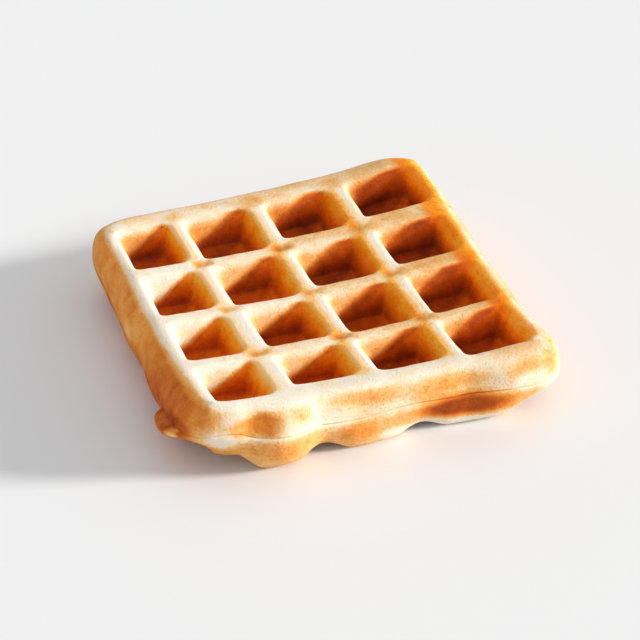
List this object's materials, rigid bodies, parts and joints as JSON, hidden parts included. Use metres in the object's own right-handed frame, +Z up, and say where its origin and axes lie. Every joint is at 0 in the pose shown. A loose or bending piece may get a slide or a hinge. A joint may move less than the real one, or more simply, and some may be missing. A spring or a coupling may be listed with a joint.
{
  "type": "belgian waffle",
  "caption": "Square Belgian waffle with deep square pockets on both faces, a rounded rim and a seam with batter lobes round its side.",
  "frame": {"origin": "middle of the base, on the plane that the waffle rests on", "axes": "+Z up through the thickness, +X to the right and +Y to the back as the waffle lies, both along the grid"},
  "size_m": [0.1294, 0.1298, 0.0261],
  "materials": {
    "baked_batter": "matt baked crust, cream on the ribs and golden brown in the pockets"
  },
  "bodies": {
    "root": {"waffle": "baked_batter"}
  },
  "joints": []
}
